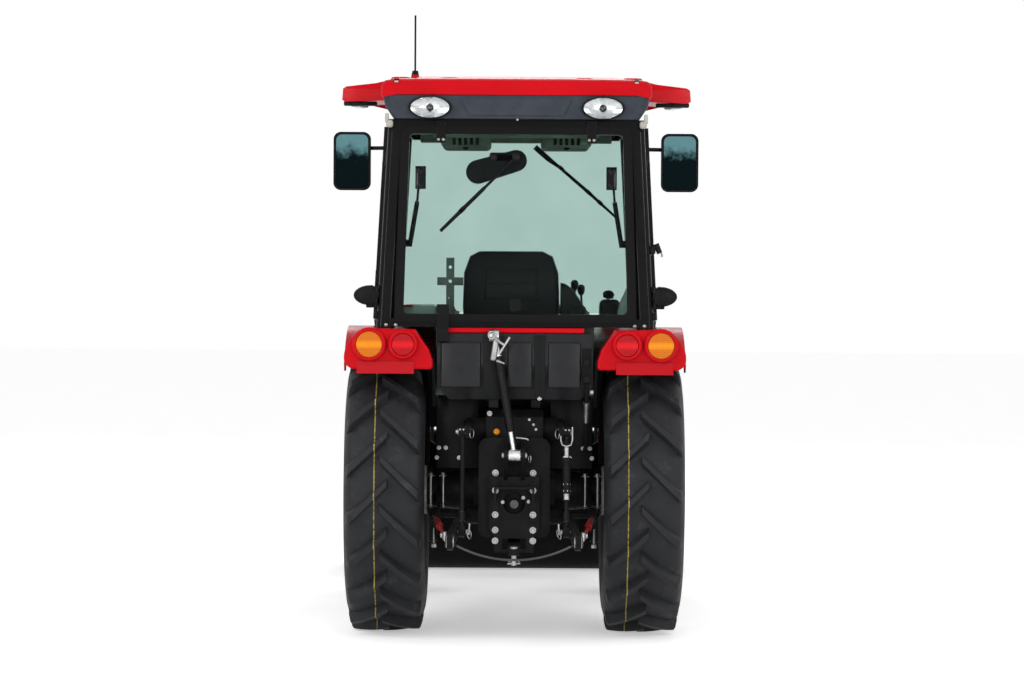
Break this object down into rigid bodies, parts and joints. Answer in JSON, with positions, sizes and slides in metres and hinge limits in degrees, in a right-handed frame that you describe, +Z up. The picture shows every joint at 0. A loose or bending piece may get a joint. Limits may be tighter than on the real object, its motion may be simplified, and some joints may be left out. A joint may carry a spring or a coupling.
{
  "type": "farm tractor with cab and front loader",
  "caption": "Compact farm tractor with a glazed cab, rear three-point hitch, power take-off shaft and a front loader bucket.",
  "frame": {"origin": "on the ground below the middle of the machine's length and width", "axes": "+Y forward, +X to the machine's right, +Z up"},
  "size_m": [1.7, 4.23, 2.6294],
  "materials": {
    "red_paint": "gloss enamel",
    "black_paint": "satin black enamel",
    "cast_grey": "painted dark grey casting",
    "rim_paint": "light silver enamel",
    "tyre_rubber": "dusty rubber",
    "steel": "bright zinc",
    "black_plastic": "grained",
    "grey_plastic": "satin slate grey",
    "glass": "green tinted",
    "amber_lens": "clear ribbed",
    "red_lens": "clear ribbed",
    "seat_cover": "woven and vinyl",
    "headliner": "moulded",
    "rubber": "matt"
  },
  "bodies": {
    "root": {"transmission": "cast_grey", "hitch_bracket": "cast_grey", "drawbar": "black_paint", "pto_shaft": "steel", "engine": "cast_grey", "radiator": "black_paint", "front_frame": "black_paint", "front_axle": "cast_grey", "fenders": "red_paint", "lamp_housings": "red_paint", "amber_lenses": "amber_lens", "red_lenses": "red_lens", "fuel_tank": "black_plastic", "rear_panel": "red_paint", "cab_frame": "black_paint", "cab_floor": "black_paint", "dashboard": "black_plastic", "steering_wheel": "black_plastic", "seat": "seat_cover", "consoles": "black_plastic", "steps": "black_paint", "rear_window_frame": "black_paint", "cab_glass": "glass", "roof": "red_paint", "roof_fascia": "grey_plastic", "headliner": "headliner", "lamps": "black_plastic", "antenna": "black_plastic", "mirrors": "black_plastic", "window_fittings": "black_paint", "rear_couplers": "rubber", "loader_frame": "black_paint"},
    "hood": {"hood": "red_paint", "grille": "black_plastic"},
    "door_right": {"door_frame_right": "black_paint", "door_glass_right": "glass"},
    "door_left": {"door_frame_left": "black_paint", "door_glass_left": "glass"},
    "knuckle_right": {"knuckle_right": "cast_grey"},
    "knuckle_left": {"knuckle_left": "cast_grey"},
    "front_wheel_right": {"front_tyre_right": "tyre_rubber", "front_rim_right": "rim_paint"},
    "front_wheel_left": {"front_tyre_left": "tyre_rubber", "front_rim_left": "rim_paint"},
    "rear_wheel_right": {"rear_tyre_right": "tyre_rubber", "rear_rim_right": "rim_paint"},
    "rear_wheel_left": {"rear_tyre_left": "tyre_rubber", "rear_rim_left": "rim_paint"},
    "lower_links": {"lower_links": "black_paint"},
    "lift_arms": {"lift_arms": "black_paint"},
    "lift_rods": {"lift_rods": "black_paint"},
    "top_link": {"top_link": "black_paint"},
    "boom": {"boom": "red_paint"},
    "bucket": {"bucket": "black_paint"},
    "boom_barrels": {"boom_cylinder_barrels": "black_paint"},
    "boom_rods": {"boom_cylinder_rods": "steel"},
    "bucket_barrels": {"bucket_cylinder_barrels": "black_paint"},
    "bucket_rods": {"bucket_cylinder_rods": "steel"}
  },
  "joints": [
    {"name": "rear_wheel_spin_right", "type": "hinge", "parent": "root", "child": "rear_wheel_right", "pos_m": [0.544, -1.21, 0.605], "axis": [1, 0, 0], "continuous": true},
    {"name": "rear_wheel_spin_left", "type": "hinge", "parent": "root", "child": "rear_wheel_left", "pos_m": [-0.544, -1.21, 0.605], "axis": [1, 0, 0], "continuous": true},
    {"name": "steer_left", "type": "hinge", "parent": "root", "child": "knuckle_left", "pos_m": [-0.462, 0.55, 0.427], "axis": [0, 0, 1], "range_deg": [-38, 38]},
    {"name": "steer_right", "type": "hinge", "parent": "root", "child": "knuckle_right", "pos_m": [0.462, 0.55, 0.427], "axis": [0, 0, 1], "range_deg": [-38, 38]},
    {"name": "front_wheel_spin_right", "type": "hinge", "parent": "knuckle_right", "child": "front_wheel_right", "pos_m": [0.595, 0.55, 0.427], "axis": [1, 0, 0], "continuous": true},
    {"name": "front_wheel_spin_left", "type": "hinge", "parent": "knuckle_left", "child": "front_wheel_left", "pos_m": [-0.595, 0.55, 0.427], "axis": [1, 0, 0], "continuous": true},
    {"name": "door_swing_right", "type": "hinge", "parent": "root", "child": "door_right", "pos_m": [0.59998, -1.218, 1.3157], "axis": [0.0539, 0, -0.9985], "range_deg": [0, 80]},
    {"name": "door_swing_left", "type": "hinge", "parent": "root", "child": "door_left", "pos_m": [-0.59998, -1.218, 1.3157], "axis": [0.0539, 0, 0.9985], "range_deg": [0, 80]},
    {"name": "hood_lift", "type": "hinge", "parent": "root", "child": "hood", "pos_m": [0, -0.253, 1.322], "axis": [1, 0, 0], "range_deg": [0, 50]},
    {"name": "lower_link_lift", "type": "hinge", "parent": "root", "child": "lower_links", "pos_m": [0, -1.37, 0.51], "axis": [-1, 0, 0], "range_deg": [-12, 24]},
    {"name": "lift_arm_turn", "type": "hinge", "parent": "root", "child": "lift_arms", "pos_m": [0, -1.46, 0.88], "axis": [-1, 0, 0], "range_deg": [-20, 39]},
    {"name": "lift_rod_turn", "type": "hinge", "parent": "lift_arms", "child": "lift_rods", "pos_m": [0, -1.74, 0.883], "axis": [-1, 0, 0], "range_deg": [-35, 18]},
    {"name": "top_link_swing", "type": "hinge", "parent": "root", "child": "top_link", "pos_m": [0, -1.68, 0.782], "axis": [1, 0, 0], "range_deg": [0, 95]},
    {"name": "boom_lift", "type": "hinge", "parent": "root", "child": "boom", "pos_m": [0, -0.17, 1.34], "axis": [1, 0, 0], "range_deg": [0, 73]},
    {"name": "bucket_tilt", "type": "hinge", "parent": "boom", "child": "bucket", "pos_m": [0, 1.51, 0.19], "axis": [1, 0, 0], "range_deg": [-110, 18]},
    {"name": "boom_barrel_turn", "type": "hinge", "parent": "root", "child": "boom_barrels", "pos_m": [0, -0.072, 0.64], "axis": [1, 0, 0], "range_deg": [-1, 45]},
    {"name": "boom_rod_slide", "type": "slide", "parent": "boom_barrels", "child": "boom_rods", "axis": [0, 0.8681, 0.4964], "range_m": [-0.002, 0.6645]},
    {"name": "bucket_barrel_turn", "type": "hinge", "parent": "boom", "child": "bucket_barrels", "pos_m": [0, 1.142, 1.16], "axis": [1, 0, 0], "range_deg": [-3, 9]},
    {"name": "bucket_rod_slide", "type": "slide", "parent": "bucket_barrels", "child": "bucket_rods", "axis": [0, 0.4301, -0.9028], "range_m": [-0.0617, 0.3668]}
  ],
  "couplings": [
    {"joint": "steer_right", "follows": "steer_left", "ratio": 1},
    {"joint": "lift_arm_turn", "follows": "lower_link_lift", "ratio": 1.57},
    {"joint": "lift_rod_turn", "follows": "lower_link_lift", "ratio": -1.4},
    {"joint": "boom_barrel_turn", "follows": "boom_lift", "ratio": 0.59},
    {"joint": "boom_rod_slide", "follows": "boom_lift", "m_per_rad": 0.52},
    {"joint": "bucket_barrel_turn", "follows": "bucket_tilt", "ratio": -0.07},
    {"joint": "bucket_rod_slide", "follows": "bucket_tilt", "m_per_rad": -0.19}
  ]
}
